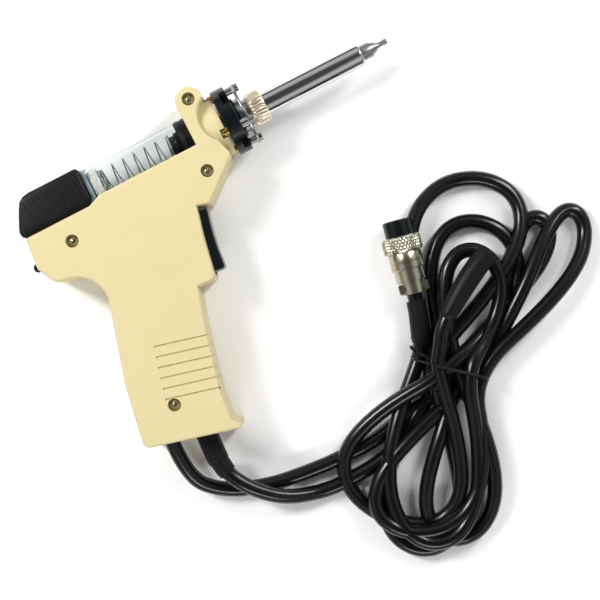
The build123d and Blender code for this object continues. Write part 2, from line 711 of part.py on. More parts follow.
ring_stop = ring_start + ring_length
shoulder_start = ring_start + 3.4
shroud_stop = 24.0
clamp_start = plug_length - clamp_length
contact_places = [(4.0 * cos(radians(72 * index)), 4.0 * sin(radians(72 * index))) for index in range(5)]

with BuildPart() as plug_insert:
    turned(0, ring_start, insert_radius)
    turned(ring_start, insert_length, seat_radius)
    turned(-0.1, 1.2, insert_radius - 1.2, Mode.SUBTRACT)
    for x, y in contact_places:
        turned(1.2, insert_length, 0.95, Mode.SUBTRACT, x, y)
save(plug_insert, "plug_insert")

with BuildPart() as plug_contacts:
    for x, y in contact_places:
        turned(1.2, insert_length + 3, 0.95, Mode.ADD, x, y)
        turned(1.1, 7, 0.55, Mode.SUBTRACT, x, y)
save(plug_contacts, "plug_contacts")

with BuildPart() as plug_ring:
    turned(ring_start, ring_stop, ring_radius)
    chamfer(edges().filter_by(GeomType.CIRCLE), 0.5)
    turned(ring_start, shoulder_start + 2.0, ring_bore, Mode.SUBTRACT)
    turned(ring_start, ring_stop, 7.5 + pin_gap, Mode.SUBTRACT)
save(plug_ring, "plug_ring")

with BuildPart() as plug_body:
    turned(shoulder_start, shroud_stop, 7.5)
    turned(shoulder_start, shoulder_start + 1.9, ring_bore - pin_gap)
    turned(ring_stop + 0.2, shroud_stop, shroud_radius)
    turned(shroud_stop, clamp_start, step_radius)
    turned(shoulder_start, insert_length, seat_radius, Mode.SUBTRACT)
    turned(insert_length, clamp_start, 6.0, Mode.SUBTRACT)
save(plug_body, "plug_body")

clamp_bore = cord_radius + 0.25
clamp_screw_out = 5.4
clamp_seat = 3.6
clamp_middle = Plane(plug.offset(clamp_start + clamp_length / 2).origin, x_dir=plug.z_dir, z_dir=(0, 0, 1))
with BuildPart() as plug_clamp:
    turned(clamp_start, plug_length, clamp_radius)
    with Locations(clamp_middle):
        Box(clamp_length - 1.6, 2 * clamp_screw_out + 3.4, 8.6)
    turned(clamp_start, plug_length, clamp_bore, Mode.SUBTRACT)
    with Locations(clamp_middle):
        with Locations((0, clamp_screw_out), (0, -clamp_screw_out)):
            Cylinder(0.9, 20, mode=Mode.SUBTRACT)
            with Locations((0, 0, clamp_seat)):
                Cylinder(1.6, 4, align=(Align.CENTER, Align.CENTER, Align.MIN), mode=Mode.SUBTRACT)
save(plug_clamp, "plug_clamp")

with BuildPart() as plug_clamp_screws:
    with Locations(clamp_middle):
        with Locations((0, clamp_screw_out), (0, -clamp_screw_out)):
            Cylinder(0.9, 2 * clamp_seat)
    with Locations(clamp_middle.offset(clamp_seat)):
        with Locations((0, clamp_screw_out), (0, -clamp_screw_out)):
            Cylinder(1.5, 1.1, align=(Align.CENTER, Align.CENTER, Align.MIN))
save(plug_clamp_screws, "plug_clamp_screws")

plug_way = plug.z_dir
tail_start = plug.origin + plug_way * (insert_length + 6)
tail_bend = plug.origin + plug_way * (plug_length + 4)
tail_line = cord_path("plug_cable", [tail_start, tail_bend, *in_gun([(47.2, -132.6, 8.6), (45.0, -136.3, 8.2)])])
plug_cable = cord_tube(tail_line, cord_radius)
save(plug_cable, "plug_cable")

sleeve_part = tail_line.trim((plug_length - insert_length - 6 + 0.3) / tail_line.length, 0.92)
with BuildPart() as plug_sleeve:
    sweep(round_section(sleeve_part, 4.9), path=sleeve_part)
    sweep(round_section(sleeve_part, cord_radius), path=sleeve_part, mode=Mode.SUBTRACT)
save(plug_sleeve, "plug_sleeve")

hose_end_line = cord_path("hose_tail", in_gun([
    (51.4, -142.0, 18.9), (56.5, -133.0, 20.6), (73.6, -121.0, 20.6), (87.2, -113.4, 20.6), (92.8, -111.4, 20.6)]))
end_sleeve_line = hose_end_line.trim(0.5, 1.0)
with BuildPart() as hose_end_sleeve:
    sweep(round_section(end_sleeve_line, sleeve_radius), path=end_sleeve_line)
    sweep(round_section(end_sleeve_line, cord_radius), path=end_sleeve_line, mode=Mode.SUBTRACT)
save(hose_end_sleeve, "hose_end_sleeve")

with BuildPart() as hose_tail:
    sweep(round_section(hose_end_line, cord_radius), path=hose_end_line)
    with Locations(Plane(hose_end_line @ 1, z_dir=-(hose_end_line % 1))):
        Cylinder(hose_bore_radius, hose_bore_depth, align=(Align.CENTER, Align.CENTER, Align.MIN),
                 mode=Mode.SUBTRACT)
save(hose_tail, "hose_tail")
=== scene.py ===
from math import cos, pi, radians, sin, sqrt

import bpy
from mathutils import Matrix, Vector


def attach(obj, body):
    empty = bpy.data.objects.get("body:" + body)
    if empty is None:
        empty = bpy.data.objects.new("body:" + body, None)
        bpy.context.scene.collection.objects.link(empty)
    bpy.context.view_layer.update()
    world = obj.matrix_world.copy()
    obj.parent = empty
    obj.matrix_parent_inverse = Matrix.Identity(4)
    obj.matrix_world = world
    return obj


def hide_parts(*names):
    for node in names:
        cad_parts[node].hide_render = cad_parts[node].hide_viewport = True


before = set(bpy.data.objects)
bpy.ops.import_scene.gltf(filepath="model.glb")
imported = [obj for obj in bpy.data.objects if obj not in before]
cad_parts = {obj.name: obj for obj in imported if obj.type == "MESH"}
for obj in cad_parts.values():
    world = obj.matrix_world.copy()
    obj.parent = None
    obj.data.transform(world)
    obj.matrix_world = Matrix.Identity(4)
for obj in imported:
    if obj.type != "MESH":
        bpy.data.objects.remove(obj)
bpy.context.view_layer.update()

# Looks of an electric desoldering gun with its cable, hose and tied hank. Distances are in
# millimetres of the gun frame: x along the barrel, y the gun's own up, z above the table.
MM = 0.001
GUN = Vector((3.0, 54.36, 0.0))
AXIS_Z = 17.0
CORD_RADIUS = 3.65
SMOOTH_ANGLE = radians(40)  # edges flatter than this are shaded smooth


# ---- helpers ----
def mm(x, y, z):
    """A point of the gun frame in the part's frame, in metres."""
    return (GUN + Vector((x, y, z))) * MM


def along(origin, way):
    """A place whose own z axis runs along way from origin, in metres."""
    return Matrix.Translation(origin) @ Vector(way).to_track_quat("Z", "Y").to_matrix().to_4x4()


def deselect():
    bpy.ops.object.select_all(action="DESELECT")


def only(piece):
    """Select one piece alone and make it active."""
    deselect()
    piece.select_set(True)
    bpy.context.view_layer.objects.active = piece


def linear(code):
    """An sRGB hex colour as linear RGBA."""
    values = [int(code[i:i + 2], 16) / 255 for i in (1, 3, 5)]
    return [v / 12.92 if v <= 0.04045 else ((v + 0.055) / 1.055) ** 2.4 for v in values] + [1.0]


def finish(piece, name, material, slot, body, *nodes):
    """Name a shaped piece, give it its finish and tie it to the frame."""
    piece.name = name
    piece.data.name = name
    piece.data.materials.clear()
    piece.data.materials.append(material)
    if nodes:
        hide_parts(*nodes)
    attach(piece, body)
    return piece


def soften(piece, width, segments=2, angle=30):
    """Round the sharp edges of a piece and shade it smooth."""
    only(piece)
    bevel = piece.modifiers.new("edges", "BEVEL")
    bevel.width = width * MM
    bevel.segments = segments
    bevel.limit_method = "ANGLE"
    bevel.angle_limit = radians(angle)
    bevel.harden_normals = False
    bpy.ops.object.modifier_apply(modifier="edges")
    bpy.ops.object.shade_smooth_by_angle(angle=SMOOTH_ANGLE)


AXIS_RADIUS = 0.05  # points closer to the axis than this are left alone by a ripple


def turned(stations, place, steps=72, hollow=False, edge=0.0, ripple=None):
    """A turned piece: a ring extruded and scaled through (distance, radius) stations along its axis.

    A hollow piece's stations close on themselves, so it needs no end caps. edge rounds its edges.
    ripple(angle, distance, radius) may return a new radius, for flutes, notches or knurling.
    """
    deselect()
    start, first = stations[0]
    bpy.ops.mesh.primitive_circle_add(vertices=steps, radius=first * MM, location=(0, 0, start * MM))
    piece = bpy.context.object
    bpy.ops.object.transform_apply(location=True)
    bpy.ops.object.mode_set(mode="EDIT")
    bpy.ops.mesh.select_all(action="SELECT")
    if not hollow:
        bpy.ops.mesh.edge_face_add()
        bpy.ops.mesh.select_all(action="SELECT")
    for (x0, r0), (x1, r1) in zip(stations, stations[1:]):
        bpy.ops.mesh.extrude_region_move(TRANSFORM_OT_translate={"value": (0, 0, (x1 - x0) * MM)})
        bpy.ops.transform.resize(value=(r1 / r0, r1 / r0, 1), center_override=(0, 0, x1 * MM))
    bpy.ops.mesh.select_all(action="SELECT")
    bpy.ops.mesh.remove_doubles(threshold=1e-6)
    bpy.ops.mesh.normals_make_consistent(inside=False)
    bpy.ops.object.mode_set(mode="OBJECT")
    if ripple:
        for vertex in piece.data.vertices:
            x, y, z = vertex.co / MM
            radius = sqrt(x * x + y * y)
            if radius > AXIS_RADIUS:
                share = ripple(Vector((x, y)).angle_signed(Vector((1, 0)), 0), z, radius) / radius
                vertex.co.x *= share
                vertex.co.y *= share
    if edge:
        soften(piece, edge)
    else:
        only(piece)
        bpy.ops.object.shade_smooth_by_angle(angle=SMOOTH_ANGLE)
    piece.matrix_world = place
    bpy.ops.object.transform_apply(location=True, rotation=True)
    return piece


def slab(outline, low, high, edge):
    """A flat outline in the gun frame raised from low to high, with its edges rounded."""
    deselect()
    bpy.ops.mesh.primitive_circle_add(vertices=len(outline), radius=MM, fill_type="NGON")
    piece = bpy.context.object
    for vertex, (x, y) in zip(piece.data.vertices, outline):
        vertex.co = mm(x, y, low)
    bpy.ops.object.mode_set(mode="EDIT")
    bpy.ops.mesh.select_all(action="SELECT")
    bpy.ops.mesh.extrude_region_move(TRANSFORM_OT_translate={"value": (0, 0, (high - low) * MM)})
    bpy.ops.mesh.select_all(action="SELECT")
    bpy.ops.mesh.normals_make_consistent(inside=False)
    bpy.ops.object.mode_set(mode="OBJECT")
    soften(piece, edge, 5)
    return piece


def joined(pieces):
    """Several pieces as one."""
    deselect()
    for piece in pieces:
        piece.select_set(True)
    bpy.context.view_layer.objects.active = pieces[0]
    bpy.ops.object.join()
    return bpy.context.object


def nurbs(name, points, radius):
    """A round cord on a smooth curve with these control points, in metres."""
    data = bpy.data.curves.new(name, "CURVE")
    data.dimensions = "3D"
    spline = data.splines.new("NURBS")
    spline.points.add(len(points) - 1)
    for place, point in zip(spline.points, points):
        place.co = (*point, 1.0)
    spline.order_u = 3
    spline.use_endpoint_u = True
    spline.resolution_u = 12
    data.bevel_depth = radius * MM
    data.bevel_resolution = 6
    data.use_fill_caps = True
    cord = bpy.data.objects.new(name, data)
    bpy.context.collection.objects.link(cord)
    return cord


def centreline(cord):
    """The points that a cord's smooth curve passes through."""
    data = cord.data.copy()
    data.bevel_depth = 0
    bare = bpy.data.objects.new("bare", data)
    mesh = bpy.data.meshes.new_from_object(bare)
    points = [vertex.co.copy() for vertex in mesh.vertices]
    bpy.data.objects.remove(bare)
    bpy.data.meshes.remove(mesh)
    return points


# ---- materials ----
def fresh(name):
    """A new material with its tree and its Principled shader."""
    material = bpy.data.materials.new(name)
    material.use_nodes = True
    tree = material.node_tree
    return material, tree, tree.nodes["Principled BSDF"]


def add_node(tree, kind, settings=(), inputs=(), links=()):
    """A node with its settings, its input values and its incoming links (input, node, output)."""
    made = tree.nodes.new(kind)
    for key, value in dict(settings).items():
        setattr(made, key, value)
    for key, value in dict(inputs).items():
        made.inputs[key].default_value = value
    for socket, source, output in links:
        tree.links.new(source.outputs[output], made.inputs[socket])
    return made


BUMP_DEPTH = 0.0001
CLOUD_SCALE = 60.0


def surface(name, colour, roughness, grain_mm, bump, metallic=0.0, darker=0.9, rough_spread=0.08, **shader):
    """A finish with a fine grain.

    Its relief varies by noise at grain_mm. Its colour, down to darker times the base, and its
    roughness, by rough_spread each way, vary in larger clouds.
    """
    material, tree, skin = fresh(name)
    base = linear(colour)
    shade = [c * darker for c in base[:3]] + [1.0]
    place = add_node(tree, "ShaderNodeTexCoord")
    grain = add_node(tree, "ShaderNodeTexNoise", (), {"Scale": 1000 / grain_mm / 2, "Detail": 4.0},
                     [("Vector", place, "Object")])
    cloud = add_node(tree, "ShaderNodeTexNoise", (), {"Scale": CLOUD_SCALE, "Detail": 3.0},
                     [("Vector", place, "Object")])
    tint = add_node(tree, "ShaderNodeMix", {"data_type": "RGBA"}, {}, [("Factor", cloud, "Fac")])
    tint.inputs["A"].default_value = shade
    tint.inputs["B"].default_value = base
    tree.links.new(tint.outputs["Result"], skin.inputs["Base Color"])
    span = {"To Min": roughness - rough_spread, "To Max": roughness + rough_spread}
    wear = add_node(tree, "ShaderNodeMapRange", (), span, [("Value", cloud, "Fac")])
    tree.links.new(wear.outputs["Result"], skin.inputs["Roughness"])
    relief = add_node(tree, "ShaderNodeBump", (), {"Strength": bump, "Distance": BUMP_DEPTH},
                      [("Height", grain, "Fac")])
    tree.links.new(relief.outputs["Normal"], skin.inputs["Normal"])
    skin.inputs["Metallic"].default_value = metallic
    for key, value in shader.items():
        skin.inputs[key.replace("_", " ")].default_value = value
    return material


# ABS, moulded with a fine spark-eroded texture: a soft cream sheen
casing_abs = surface("cream moulded ABS", "#D2C596", 0.42, 0.35, 0.12, darker=0.95, Specular_IOR_Level=0.42)
# ABS, moulded black with a satin texture: grey highlights
satin_black = surface("black satin ABS", "#141617", 0.38, 0.4, 0.18, Specular_IOR_Level=0.15)
# phenolic, pressed and glossy: near black with sharp reflections
phenolic = surface("black pressed phenolic", "#0D1214", 0.2, 0.8, 0.06, Specular_IOR_Level=0.3)
# ABS, moulded and worn smooth by the finger
glossy_black = surface("black polished ABS", "#12161B", 0.24, 0.8, 0.05, Specular_IOR_Level=0.6)
# PVC, extruded over the wires: wet-looking black
pvc_jacket = surface("black extruded PVC", "#0A0D0E", 0.22, 1.6, 0.05, rough_spread=0.05,
                     Specular_IOR_Level=0.35)
# rubber, moulded: dull black
dull_rubber = surface("black moulded rubber", "#101113", 0.42, 0.5, 0.2, Specular_IOR_Level=0.18)
# silicone, moulded and slightly translucent: milky blue grey
grey_silicone = surface("grey moulded silicone", "#93A8B1", 0.35, 0.6, 0.08, Transmission_Weight=0.25)
# chromed brass tube, polished: a mirror
mirror_chrome = surface("polished chrome", "#D9D9DB", 0.07, 1.5, 0.02, 1.0, rough_spread=0.02)
# nickel-plated brass, fluted: warm and pale
warm_nickel = surface("nickel-plated brass", "#F6E3C9", 0.28, 0.6, 0.08, 1.0)
# nickel plate, turned: silver
silver_nickel = surface("turned nickel plate", "#B9B7A4", 0.24, 0.5, 0.06, 1.0)
# steel, machined: grey with a fine grain
machined_steel = surface("machined steel", "#9FA19F", 0.28, 0.3, 0.1, 1.0)
# iron-plated tip, blasted: satin grey
tip_iron = surface("satin iron plate", "#9A9DA0", 0.34, 0.3, 0.12, 1.0)
# brass, turned
turned_brass = surface("turned brass", "#B99A4E", 0.25, 0.4, 0.08, 1.0)
# spring wire, drawn: mid grey
spring_steel = surface("drawn spring wire", "#868B8C", 0.35, 0.3, 0.05, 1.0)
# ceramic fibre, pressed: chalk white
filter_fibre = surface("pressed ceramic fibre", "#F4F3EE", 0.85, 0.5, 0.5)
# nylon, moulded, inside the grip
inner_nylon = surface("red moulded nylon", "#8C1B16", 0.4, 0.5, 0.1)
# alumina, fired: off white
fired_alumina = surface("fired alumina", "#DEDBD2", 0.6, 0.4, 0.2)
# borosilicate glass, drawn: clear with bright rims
clear_glass = surface("drawn borosilicate glass", "#FAFDFD", 0.04, 2.0, 0.01, rough_spread=0.02,
                      Transmission_Weight=1.0, IOR=1.04)

for node, material in {
    "upper_casing": casing_abs, "lower_casing": casing_abs, "casing_screws": silver_nickel,
    "rear_cap": satin_black, "mount_nuts": turned_brass, "spacers": mirror_chrome,
    "plate_washers": silver_nickel, "plate_screws": machined_steel, "heater_collar": machined_steel,
    "mount_sleeve": machined_steel, "heater_core": fired_alumina, "suction_tube": machined_steel,
    "seal_carrier": satin_black, "release_latch": machined_steel, "button_spring": spring_steel,
    "release_button": satin_black, "trigger_pin": machined_steel, "trigger_spring": spring_steel,
    "switch_body": satin_black, "switch_plunger": inner_nylon, "inner_hose": dull_rubber,
    "heater_leads": inner_nylon, "cable_clamp": satin_black, "clamp_screws": machined_steel,
    "plug_contacts": turned_brass, "plug_clamp": silver_nickel, "plug_clamp_screws": silver_nickel,
}.items():
    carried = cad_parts[node]
    for place in carried.material_slots:
        place.material = material

# ---- camera ----
camera_data = bpy.data.cameras.new("camera")
camera = bpy.data.objects.new("camera", camera_data)
bpy.context.collection.objects.link(camera)
camera.location = (0.00635, -0.03618, 0.7)
camera.rotation_euler = (0, 0, radians(-27.3))
camera_data.angle = radians(23.57)
bpy.context.scene.camera = camera

# ---- cords ----
TIE = Vector((52.0, -152.5))
BUNDLE = Vector((0.69, 0.724)).normalized()
ACROSS = Vector((BUNDLE.y, -BUNDLE.x))
LOBE_POINTS = 8
LOBE_SWELL = 0.54  # control points' share of a lobe's width that gives the curve this width
NARROW = 25  # lobes narrower than this get a blunter tip, or the cord would fold on itself there
FLOOR = 3.8  # height of a cord that lies on the table
LOW, MID, TOP = 3.75, 10.9, 18.2  # heights of the three layers in the tie


def strand(u, z, shift=0.0):
    """A strand's place in the tied bundle: u across it, z above the table, shift along it."""
    flat = TIE + ACROSS * u + BUNDLE * shift
    return mm(flat.x, flat.y, z)


def lobe(length, angle, width, enter, leave, middle, tip):
    """The control points of one open loop from the tie and back.

    Its tip lies at length and angle from the tie; a negative width enters on the other side.
    enter and leave are its strands' (u, z) in the tie; middle and tip are heights on the way.
    """
    way = Vector((cos(radians(angle)), sin(radians(angle))))
    side = Vector((-way.y, way.x))
    blunt = 0.75 if abs(width) < NARROW else 1.0
    points = []
    for index in range(1, LOBE_POINTS):
        turn = index / LOBE_POINTS
        u = enter[0] + (leave[0] - enter[0]) * turn
        near = abs(cos(pi * turn))
        flat = TIE + way * length * sin(pi * turn) ** blunt + side * width * LOBE_SWELL * sin(2 * pi * turn)
        flat += ACROSS * u * near ** 2
        rise = min(index, LOBE_POINTS - index)
        points.append(mm(flat.x, flat.y, (middle, (middle + tip) / 2, tip, tip)[rise - 1]))
    return points


cable_points = [mm(*p) for p in [
    (-62.7, -108.0, AXIS_Z), (-65.0, -124.0, AXIS_Z), (-66.6, -145.0, 15.5), (-59.5, -159.0, 14.6),
    (-47.0, -171.5, 10.0), (-31.5, -177.4, FLOOR), (-18.9, -179.0, FLOOR), (6.0, -178.0, FLOOR),
    (30.0, -168.0, FLOOR)]]
# each turn: length, angle, width, enter, leave, middle, tip, as lobe() takes them
cable_turns = [
    (94.5, 51.7, 52, (-7.4, LOW), (-11.1, MID), MID, LOW),
    (90.6, 233.9, 40, (-11.1, MID), (0.0, LOW), LOW, LOW),
    (73.6, 49.8, 40, (0.0, LOW), (7.4, LOW), LOW, LOW),
    (84.5, 245.7, -34, (7.4, LOW), (3.7, MID), MID, LOW),
    (59.0, 50.5, 26, (3.7, MID), (7.4, TOP), MID, MID),
    (85.8, 236.9, 36, (7.4, TOP), (-14.8, 6.0), MID, MID),
]
hose_points = [mm(*p) for p in [
    (-81.0, -118.0, AXIS_Z), (-84.2, -141.0, 11.0), (-71.5, -156.0, 4.4), (-50.0, -163.8, FLOOR),
    (-30.0, -166.4, FLOOR), (-17.6, -167.4, FLOOR), (6.0, -168.0, FLOOR), (30.0, -161.0, FLOOR)]]
hose_turns = [
    (98.7, 23.2, 21, (14.8, LOW), (11.1, MID), MID, LOW),
    (82.4, 226.2, 46, (11.1, MID), (14.8, LOW), MID, MID),
    (86.3, 30.7, 19, (14.8, LOW), (0.0, TOP), LOW, LOW),
    (79.7, 221.2, -60, (0.0, TOP), (-7.4, TOP), MID, LOW),
]


def wound(points, turns):
    """A cord's run into the tie, followed by its open loops."""
    for turn in turns:
        points.append(strand(*turn[3]))
        points += lobe(*turn)
    points.append(strand(*turns[-1][4]))
    return points


cable_points = wound(cable_points, cable_turns) + [mm(45.0, -136.3, 8.2), mm(47.2, -132.6, 8.6)]
plug_origin = Vector((61.7, -77.8, 9.55))
plug_way = Vector((-sin(radians(12.6)), -cos(radians(12.6)), 0))
cable_points += [mm(*(plug_origin + plug_way * distance)) for distance in (40.0, 20.0)]
hose_points = wound(hose_points, hose_turns) + [mm(*p) for p in [
    (51.4, -142.0, 18.9), (56.5, -133.0, 20.6), (73.6, -121.0, 20.6), (87.2, -113.4, 20.6),
    (92.8, -111.4, 20.6)]]

cable = nurbs("power_cord", cable_points, CORD_RADIUS)
finish(cable, "power_cord", pvc_jacket, "cord_jacket", "casing", "power_cable", "plug_cable", "cord_hank")
hose = nurbs("vacuum_cord", hose_points, CORD_RADIUS)
finish(hose, "vacuum_cord", pvc_jacket, "cord_jacket", "casing", "vacuum_hose", "hose_tail", "cord_hank")

cable_line, hose_line = centreline(cable), centreline(hose)


def measured(line):
    """The length of a line, in metres."""
    return sum((b - a).length for a, b in zip(line, line[1:]))


print("cord lengths", round(measured(cable_line), 3), round(measured(hose_line), 3))

SLEEVE_SIDES = 40


def sleeve(name, line, steps, node, from_end=False):
    """A stepped sleeve that follows a cord's line.

    steps are (distance in mm, radius in mm); the distance runs from the line's start or its end.
    """
    path = line[::-1] if from_end else line
    walked, spots = 0.0, []
    for before, after in zip(path, path[1:]):
        walked += (after - before).length / MM
        spots.append((walked, after, (after - before).normalized()))
    deselect()
    bpy.ops.mesh.primitive_circle_add(vertices=SLEEVE_SIDES, radius=MM)
    piece = bpy.context.object
    rings = [min(spots, key=lambda spot: abs(spot[0] - distance)) for distance, _ in steps]
    bpy.ops.object.mode_set(mode="EDIT")
    bpy.ops.mesh.select_all(action="SELECT")
    for _ in steps[1:]:
        bpy.ops.mesh.extrude_region_move(TRANSFORM_OT_translate={"value": (0, 0, MM)})
    bpy.ops.object.mode_set(mode="OBJECT")
    for index, ((distance, radius), (walked, middle, way)) in enumerate(zip(steps, rings)):
        centre = middle + way * (distance - walked) * MM
        place = along(centre, way)
        for corner in range(SLEEVE_SIDES):
            turn = 2 * pi * corner / SLEEVE_SIDES
            spot = Vector((cos(turn), sin(turn), 0)) * radius * MM
            piece.data.vertices[index * SLEEVE_SIDES + corner].co = place @ spot
    bpy.ops.object.mode_set(mode="EDIT")
    bpy.ops.mesh.select_all(action="SELECT")
    bpy.ops.mesh.remove_doubles(threshold=1e-6)
    bpy.ops.mesh.normals_make_consistent(inside=False)
    bpy.ops.object.mode_set(mode="OBJECT")
    bpy.ops.object.shade_smooth_by_angle(angle=SMOOTH_ANGLE)
    return finish(piece, name, dull_rubber, "black_rubber", "casing", node)


cable_sleeve = sleeve("cable_relief", cable_line, [
    (4, 3.7), (4, 5.3), (10, 5.3), (20, 5.3), (30, 5.3), (33, 5.1), (33.2, 4.7), (38, 4.6), (40, 4.4),
    (40.3, 3.7)], "cable_sleeve")
plug_sleeve = sleeve("plug_relief", cable_line, [
    (19.5, 3.7), (19.5, 4.7), (25, 4.7), (30, 4.8), (35, 4.8), (38, 4.8), (38.2, 4.3), (40, 4.3),
    (40.2, 3.7)], "plug_sleeve", from_end=True)
hose_sleeve = sleeve("hose_end_cuff", hose_line, [
    (-0.2, 3.0), (-0.2, 5.0), (2, 5.3), (8, 5.35), (15, 5.3), (22, 5.15), (28, 4.8), (34, 4.3), (37, 3.9),
    (37.2, 3.7)], "hose_end_sleeve", from_end=True)


# ---- the twist tie: a thin coated wire round the bundle ----
def tie_loop():
    """The tie's own line: once round the bundle, on a boxy oval."""
    ring = []
    half_width, half_height, middle = 18.9, 10.8, 11.6
    for index in range(25):
        turn = 2 * pi * index / 24
        across = half_width * (abs(cos(turn)) ** 0.7) * (1 if cos(turn) > 0 else -1)
        height = middle + half_height * (abs(sin(turn)) ** 0.6) * (1 if sin(turn) > 0 else -1)
        ring.append(strand(across, height, 0.6 * sin(turn * 2)))
    return ring


TIE_RADIUS = 0.75
tie = nurbs("tie_wire", tie_loop() + [strand(-20.2, 14.0, 2.5), strand(-21.0, 15.0, 5.0)], TIE_RADIUS)
finish(tie, "tie_wire", dull_rubber, "black_rubber", "casing", "hank_tie")

# ---- barrel ----
BARREL = along(mm(0, 0, AXIS_Z), (1, 0, 0))


def on_barrel(name, material, slot, body, node, stations, steps=96, edge=0.0, ripple=None):
    """A hollow turned piece on the barrel's axis that replaces one CAD node."""
    return finish(turned(stations, BARREL, steps, True, edge, ripple), name, material, slot, body, node)


def notched(angle, distance, radius):
    """The front of the flange's rim: four even notches."""
    if radius < 12 or distance < 13.4:
        return radius
    notch_floor = 12.6
    return notch_floor if 0.42 < (angle / (pi / 2)) % 1 < 0.72 else radius


on_barrel("flange", phenolic, "bakelite", "casing", "heater_mount", [
    (9.8, 4.3), (9.8, 16.0), (10.2, 16.4), (13.3, 16.4), (13.5, 16.4), (16.3, 16.4), (16.8, 15.9),
    (16.8, 9.8), (17.9, 9.6), (17.9, 4.3), (9.8, 4.3)], ripple=notched)
on_barrel("round_plate", machined_steel, "steel", "casing", "heater_plate", [
    (20.2, 4.3), (20.2, 15.3), (21.2, 15.3), (21.2, 4.3), (20.2, 4.3)], edge=0.15)


def fluted(angle, distance, radius):
    """Fine flutes round the union nut."""
    flutes, depth = 32, 0.28
    if radius < 7.9 or not 24.6 < distance < 30.4:
        return radius
    return radius - depth * (0.5 - 0.5 * cos(angle * flutes))


on_barrel("union_nut", warm_nickel, "nickel", "nut", "pipe_nut", [
    (23.5, 6.5), (23.5, 8.0), (23.7, 8.2), (24.5, 8.2), (24.7, 8.2), (27.0, 8.2), (30.2, 8.2), (30.5, 8.1),
    (31.3, 7.3), (31.3, 5.75), (28.7, 5.75), (28.7, 6.5), (23.5, 6.5)], steps=192, ripple=fluted)
on_barrel("pipe_shell", mirror_chrome, "chrome", "pipe", "heater_pipe", [
    (27.7, 4.8), (27.7, 5.65), (30, 5.68), (81.6, 5.68), (82.3, 5.5), (82.6, 5.1), (82.7, 4.6), (82.7, 3.85),
    (80.7, 3.8), (80.7, 4.7), (27.7, 4.8)])
on_barrel("nozzle_tip", tip_iron, "chrome", "pipe", "nozzle", [
    (79.1, 0.55), (79.1, 4.55), (81.3, 4.55), (81.3, 3.7), (82.7, 3.75), (87.2, 3.75), (87.7, 3.5),
    (89.6, 2.6), (91.0, 1.7), (92.0, 1.25), (94.0, 1.2), (94.6, 1.38), (96.0, 1.38), (96.3, 1.1),
    (96.3, 0.5), (92.0, 0.5), (79.1, 0.55)], steps=64, edge=0.08)

# ---- collecting tube and seals ----
on_barrel("tube_plug", dull_rubber, "black_rubber", "casing", "front_seal", [
    (-17.4, 1.8), (-17.4, 6.2), (-17.0, 6.5), (-14.6, 6.5), (-14.5, 7.4), (-12.4, 7.4), (-12.3, 11.2),
    (-11.8, 11.7), (-9.6, 11.8), (-9.3, 11.3), (-8.9, 11.3), (-8.6, 11.8), (-7.1, 11.7), (-6.6, 11.2),
    (-6.6, 9.0), (0.3, 9.0), (0.3, 1.8), (-17.4, 1.8)])
on_barrel("glass_barrel", clear_glass, "glass", "tube", "glass_tube", [
    (-59.2, 10.0), (-59.2, 11.4), (-12.3, 11.4), (-12.3, 10.0), (-59.2, 10.0)], edge=0.5)
on_barrel("filter_ring", filter_fibre, "filter", "tube", "filter_pad", [
    (-58.9, 2.0), (-58.9, 9.3), (-58.2, 9.9), (-55.0, 9.9), (-54.3, 9.4), (-54.3, 2.0), (-58.9, 2.0)],
    steps=72)
on_barrel("grey_seal", grey_silicone, "grey_rubber", "cap", "rear_seal", [
    (-66.7, 2.5), (-66.7, 8.0), (-62.8, 8.0), (-62.8, 11.4), (-62.3, 11.8), (-60.2, 11.8), (-59.9, 11.5),
    (-59.2, 11.5), (-59.2, 2.5), (-66.7, 2.5)])


def coil_points():
    """The spring's line: two closed coils at the filter, six open ones, and a closed one at the plug."""
    points, distance = [], -54.0
    coil_radius, coil_steps, coils = 8.0, 12, 9
    for index in range(coils * coil_steps + 1):
        turn = 2 * pi * index / coil_steps
        points.append(mm(distance, coil_radius * cos(turn), AXIS_Z + coil_radius * sin(turn)))
        distance += (0.85 if index < 24 else 5.7 if index < 96 else 0.75) / coil_steps
    return points


WIRE_RADIUS = 0.3
spring = nurbs("collector_coil", coil_points(), WIRE_RADIUS)
finish(spring, "collector_coil", spring_steel, "steel", "tube", "collector_spring")


def cut(piece, cutter):
    """Take one closed piece out of another."""
    only(piece)
    carve = piece.modifiers.new("cut", "BOOLEAN")
    carve.operation = "DIFFERENCE"
    carve.solver = "EXACT"
    carve.object = cutter
    bpy.ops.object.modifier_apply(modifier="cut")
    bpy.data.objects.remove(cutter)
    return piece


# ---- casing screws: domed heads with a cross recess ----
def cross_bit(place):
    """The two tapered blades of a screwdriver's tip, at a screw head's top."""
    blades = []
    for turn in (20, 110):
        deselect()
        bpy.ops.mesh.primitive_cone_add(vertices=4, radius1=0.25 * MM, radius2=2.2 * MM, depth=2.2 * MM,
                                        location=(0, 0, 0.35 * MM), rotation=(0, 0, radians(45)))
        bpy.ops.object.transform_apply(location=True, rotation=True)
        bpy.ops.transform.resize(value=(1, 0.27, 1), center_override=(0, 0, 0))
        blade = bpy.context.object
        blade.matrix_world = Matrix.Translation(place) @ Matrix.Rotation(radians(turn), 4, "Z")
        bpy.ops.object.transform_apply(location=True, rotation=True, scale=True)
        blades.append(blade)
    return blades


